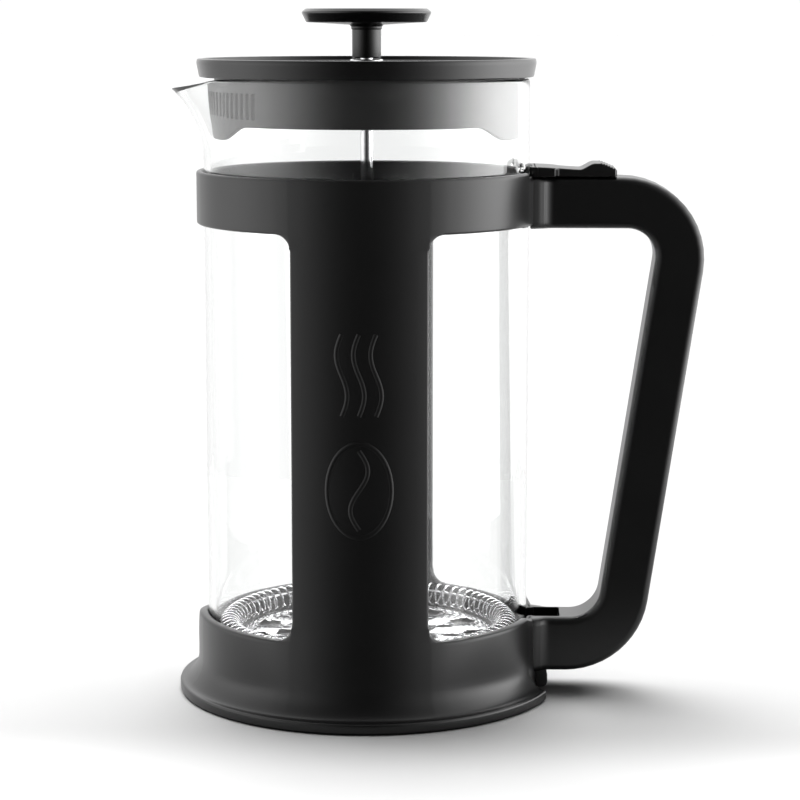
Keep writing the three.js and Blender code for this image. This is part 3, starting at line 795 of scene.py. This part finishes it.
def lid_strainer():
    per_degree = SKIRT_R * math.pi / 180
    shape = Shape().slab(Sheet(skirt_cells(), per_degree, FULL), skirt_spot, SKIRT_WALL, 0.3)
    flange = soften([(36, 191.1, 0.3), (45.4, 191.1), (45.4, SKIRT_TOP), (36, SKIRT_TOP, 0.3)], steps=3)
    shape.lathe(flange, 128)
    return even_normals(build("strainer_skirt", shape))


def rod_ring():
    """The bright ring around the rod on top of the lid."""
    profile = soften([(2.35, 191), (3.2, 191, 0.2), (3.2, 195.3), (5.1, 195.3, 0.15), (5.1, 195.95, 0.25),
                      (4.7, 196.2, 0.2), (3.0, 196.2, 0.2), (2.35, 195.8)], steps=3)
    return build("rod_ring", Shape().lathe(profile, 64))


# ---------------------------------------------------------------- plunger
KNOB_R = side_of("knob", Y, HIGH)
STEM_R = 4.45
STEM_LOW, KNOB_TOP = side_of("knob", Z, LOW), side_of("knob", Z, HIGH)
SOCKET_R = side_of("knob_insert", Y, HIGH) + GAP
SOCKET_TOP = side_of("knob_insert", Z, HIGH) + GAP


def knob():
    """A broad cap on a hollow stem with a small band at its top."""
    cap = [(0, KNOB_TOP), (18.5, KNOB_TOP, 1.2), (KNOB_R, 210.4, 0.6), (18.4, 207.4, 0.7)]
    band = [(5.2, 206.6, 0.6), (4.75, 206.1, 0.2), (4.7, 205.4, 0.2)]
    stem = [(STEM_R, 205.2, 0.2), (STEM_R, STEM_LOW, 0.35)]
    socket = [(SOCKET_R, STEM_LOW, 0.1), (SOCKET_R, SOCKET_TOP), (0, SOCKET_TOP)]
    profile = soften(cap + band + stem + socket, closed=False, steps=5)
    return even_normals(build("press_knob", Shape().lathe(split(profile, 5), 96, close=False)))


def rod():
    radius = side_of("plunger_rod", Y, HIGH)
    low, high = side_of("plunger_rod", Z, LOW), side_of("plunger_rod", Z, HIGH)
    profile = soften([(0, low), (radius, low, 0.4), (radius, high, 0.4), (0, high)], closed=False, steps=3)
    return build("rod", Shape().lathe(split(profile, 12), 48, close=False))


COIL_R = 43.7
COIL_Z = 20.1
COIL_LOOPS = 83
COIL_BEND = 3.35  # radius of a loop
WIRE_R = 0.38
HOOP_R = 0.4
HOOP_SHIFT = (-0.5, 1.2)  # outwards and up from the middle of the loops


def coil():
    """A spring bent into a ring, threaded on a thin wire hoop."""
    steps = 18
    path, centres = [], []
    for i in range(COIL_LOOPS * steps):
        around = FULL * i / (COIL_LOOPS * steps)
        bend = -math.tau * i / steps
        path.append(polar(COIL_R + COIL_BEND * math.cos(bend), around, COIL_Z + COIL_BEND * math.sin(bend)))
        centres.append(polar(COIL_R, around, COIL_Z))
    shape = Shape().tube(path, centres, WIRE_R, 6)
    out, up = HOOP_SHIFT
    hoop = [polar(COIL_R + out, FULL * i / 120, COIL_Z + up) for i in range(120)]
    shape.tube(hoop, [(0, 0, COIL_Z)] * len(hoop), HOOP_R, 8)
    return build("edge_spring", shape, math.radians(75))


HOLES = 14
OUTER_HOLES = (34.4, 3.3, 5)  # radius of the ring, radius of a hole, degrees from the handle
INNER_HOLES = (26.2, 2.4, -3)
PLATE_R = 41.2
PLATE_Z = 16.35
PLATE_THICK = 0.5


def plate_holes():
    turns = [FULL * i / HOLES for i in range(HOLES)]
    rings = (OUTER_HOLES, INNER_HOLES)
    return [(polar(around, turn + start, 0), radius) for turn in turns for around, radius, start in rings]


def plate_height(x, y):
    """A raised boss, a dished field with radial ribs and a broad pressed rim."""
    radius = math.hypot(x, y)
    turn = math.atan2(y, x)
    ribs = 0.3 * math.cos(HOLES * (turn - math.radians(OUTER_HOLES[2])))
    ribs *= smooth(17, 24, radius) * (1 - smooth(35, 38.5, radius))
    boss = 0.5 * (1 - smooth(7, 11, radius))
    rim = 0.55 * smooth(36.8, 38.6, radius) - 0.5 * smooth(40.2, PLATE_R, radius)
    return PLATE_Z + boss + rim - ribs


def plate_cells():
    """A round grid whose corners are drawn onto the edges of the holes."""
    count = 168
    radii = [2.4, 3.4, 4.6, 6, 7.5, 9, 11, 13, 15, 17, 19, 20.5, 21.5, 22.5] + span(23.2, PLATE_R, 22)
    holes = plate_holes()

    def settle(x, y):
        for (cx, cy, _), radius in holes:
            away = math.hypot(x - cx, y - cy)
            if radius <= away < radius + 0.62:
                return (cx + (x - cx) * radius / away, cy + (y - cy) * radius / away)
        return (x, y)

    def solid(x, y):
        return all(math.hypot(x - cx, y - cy) >= r for (cx, cy, _), r in holes)

    cells = []
    for low, high in zip(radii, radii[1:]):
        for i in range(count):
            a, b = FULL * i / count, FULL * (i + 1) / count
            corners = [polar(r, t, 0)[:2] for r, t in ((low, a), (high, a), (high, b), (low, b))]
            if all(solid(*corner) for corner in corners):
                cells.append([settle(*corner) for corner in corners])
    return cells


def pressed_plate():
    def spot(x, y, depth):
        return (x, y, plate_height(x, y) - depth)

    return build("pressed_plate", Shape().slab(Sheet(plate_cells()), spot, PLATE_THICK, 0.1))


# ---------------------------------------------------------------- put together
FRAME_NODES = ("frame_base", "frame_collar", "frame_front_strap", "frame_back_strap")
place(frame_cage(), "frame", BLACK, FRAME_NODES)
place(frame_handle(), "frame", BLACK, ("handle",))
place(lock_slider(), "lock", BLACK, ("lock_slider",))
place(glass_beaker(), "beaker", GLASS, ("glass_beaker",))
place(lid_cover(), "lid", LID_BLACK, ("lid_cover",))
place(lid_strainer(), "lid", STRAINER, ("lid_strainer",))
place(rod_ring(), "lid_hub", STEEL, ("lid_bushing",))
place(knob(), "plunger", LID_BLACK, ("knob",))
place(rod(), "plunger", ROD_CHROME, ("plunger_rod",))
place(coil(), "plunger", SPRING, ("edge_coil",))
place(pressed_plate(), "plunger", PLATE_CHROME, ("spiral_plate",))
KEPT = {"knob_insert": BRASS, "rod_collar": ROD_CHROME, "mesh_filter": MESH, "cross_plate": PLATE_CHROME,
        "hub_nut": STEEL}
for node, material in KEPT.items():
    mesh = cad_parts[node].data
    mesh.materials.clear()
    mesh.materials.append(material)


# ---------------------------------------------------------------- studio
BACKGROUND = 1.02
LOBES = (
    # direction, tightness, strength
    ((0.99, 0.14, 0.05), 4.5, 3.9),
    ((-0.97, -0.24, 0.05), 5.0, 0.8),
    ((0.0, 0.6, 0.8), 5.0, 1.5),
)
SIDE_GLOW = 1.3
SUNS = (
    # direction, spread in degrees, strength
    ((-0.3, 0.42, 0.86), 54, 4.05),
    ((0.27, 0.42, 0.86), 54, 3.15),
    ((0.0, 0.0, 1.0), 150, 0.3),
)
GLOSS_FLOOR = (0.3, -0.075, 0.35)  # half width, front and back of the floor that gloss shows
FAR = 30
CAMERA_DISTANCE = 0.7617
CAMERA_HEIGHT = 0.2085
CAMERA_TURN = 2.7  # degrees around the beaker's axis
CAMERA_PAN = 0.767
CAMERA_TILT = 8.78
SENSOR = 36
LENS = 111.186


class Tree:
    """Small helpers that add joined nodes to a node tree."""

    def __init__(self, tree):
        self.tree = tree

    def add(self, kind, settings, *inputs):
        node = self.tree.nodes.new("ShaderNode" + kind)
        for name, value in settings.items():
            setattr(node, name, value)
        for socket, value in zip(node.inputs, inputs):
            if hasattr(value, "links"):
                self.tree.links.new(value, socket)
            elif value is not None:
                socket.default_value = value
        return node.outputs

    def math(self, operation, *inputs):
        return self.add("Math", {"operation": operation}, *inputs)[0]

    def ramp(self, value, low, high, start, end):
        return self.add("MapRange", {"interpolation_type": "SMOOTHSTEP"}, value, low, high, start, end)[0]


def backdrop():
    """Soft lights at the sides and overhead, white behind the press and dim in front of it.

    Gloss sees these lights; the camera sees plain white, also straight through the glass.
    """
    world = bpy.data.worlds.new("studio")
    bpy.context.scene.world = world
    world.use_nodes = True
    tree = Tree(world.node_tree)
    way = tree.add("TexCoord", {})["Generated"]
    parts = tree.add("SeparateXYZ", {}, way)
    level = tree.ramp(parts["Y"], -0.35, 0.45, 0.05, BACKGROUND)
    sides = tree.math("MULTIPLY", tree.math("POWER", tree.math("ABSOLUTE", parts["X"]), 2.5), SIDE_GLOW)
    in_front = tree.ramp(parts["Y"], -0.3, 0.6, 1.0, 0.0)
    level = tree.math("ADD", level, tree.math("MULTIPLY", sides, in_front))
    dot = {"operation": "DOT_PRODUCT"}
    for towards, tightness, strength in LOBES:
        facing = tree.add("VectorMath", dot, way, Vector(towards).normalized())["Value"]
        lobe = tree.math("POWER", tree.math("MAXIMUM", facing, 0.0), tightness)
        level = tree.math("ADD", level, tree.math("MULTIPLY", lobe, strength))
    path = tree.add("LightPath", {})
    straight = tree.math("LESS_THAN", tree.math("ADD", path["Glossy Depth"], path["Diffuse Depth"]), 0.5)
    direct = tree.math("MAXIMUM", path["Is Camera Ray"], path["Is Transmission Ray"])
    plain = tree.add("Mix", {}, tree.math("MULTIPLY", straight, direct), None, level, BACKGROUND)[0]
    world.node_tree.links.new(plain, world.node_tree.nodes["Background"].inputs["Strength"])
    world.node_tree.nodes["Background"].inputs["Color"].default_value = (1, 1, 1, 1)
    world.cycles_visibility.diffuse = False


def suns():
    """Light for matt surfaces, even over the whole floor and left out of the gloss."""
    for i, (towards, spread, strength) in enumerate(SUNS):
        light = bpy.data.lights.new(f"sun {i}", "SUN")
        light.energy = strength
        light.angle = math.radians(spread)
        thing = bpy.data.objects.new(light.name, light)
        bpy.context.scene.collection.objects.link(thing)
        thing.rotation_euler = Vector(towards).to_track_quat("Z", "Y").to_euler()
        thing.visible_glossy = False


def floor_part(name, material, x, y, reflected):
    mesh = bpy.data.meshes.new(name)
    corners = [(x[0], y[0], 0), (x[1], y[0], 0), (x[1], y[1], 0), (x[0], y[1], 0)]
    mesh.from_pydata(corners, [], [(0, 1, 2, 3)])
    thing = bpy.data.objects.new(name, mesh)
    bpy.context.scene.collection.objects.link(thing)
    mesh.materials.append(material)
    thing.visible_glossy = thing.visible_transmission = reflected


def floor():
    """A pale floor, painted lighter in front of the press as a painted brightening that stands in for light
    there; the press's gloss shows only the part just around and behind it.
    """
    material = finish("studio floor", (0.515, 0.515, 0.515), (0.525, 0.525, 0.525), (0.9, 1.0),
                      grain=60.0, bump=0.0)
    shader = material.node_tree.nodes["Principled BSDF"]
    shader.inputs["Specular IOR Level"].default_value = 0.0
    tree = Tree(material.node_tree)
    where = tree.add("NewGeometry", {})["Position"]
    along = tree.add("SeparateXYZ", {}, where)["Y"]
    # painted light: the floor's colour is made 1.35 times lighter in front of the press than around and
    # behind it
    painted_light_lift = tree.ramp(along, -0.05, -0.1, 1.0, 1.35)
    tone = shader.inputs["Base Color"].links[0].from_socket
    painted_light_tone = tree.add("VectorMath", {"operation": "SCALE"}, tone, None, None, painted_light_lift)["Vector"]
    material.node_tree.links.new(painted_light_tone, shader.inputs["Base Color"])
    side, front, back = GLOSS_FLOOR
    floor_part("floor", material, (-side, side), (front, back), True)
    floor_part("floor_left", material, (-FAR, -side), (front, back), False)
    floor_part("floor_right", material, (side, FAR), (front, back), False)
    floor_part("floor_front", material, (-FAR, FAR), (-FAR, front), False)
    floor_part("floor_back", material, (-FAR, FAR), (back, FAR), False)


def camera():
    turn = math.radians(CAMERA_TURN)
    lens = bpy.data.cameras.new("camera")
    lens.sensor_width = SENSOR
    lens.lens = LENS
    thing = bpy.data.objects.new("camera", lens)
    bpy.context.scene.collection.objects.link(thing)
    across, back = CAMERA_DISTANCE * math.sin(turn), CAMERA_DISTANCE * math.cos(turn)
    thing.location = (AXIS + across, -back, CAMERA_HEIGHT)
    thing.rotation_euler = (math.radians(90 - CAMERA_TILT), 0, turn - math.radians(CAMERA_PAN))
    bpy.context.scene.camera = thing


floor()
backdrop()
suns()
camera()
bpy.context.scene.view_settings.view_transform = "Standard"
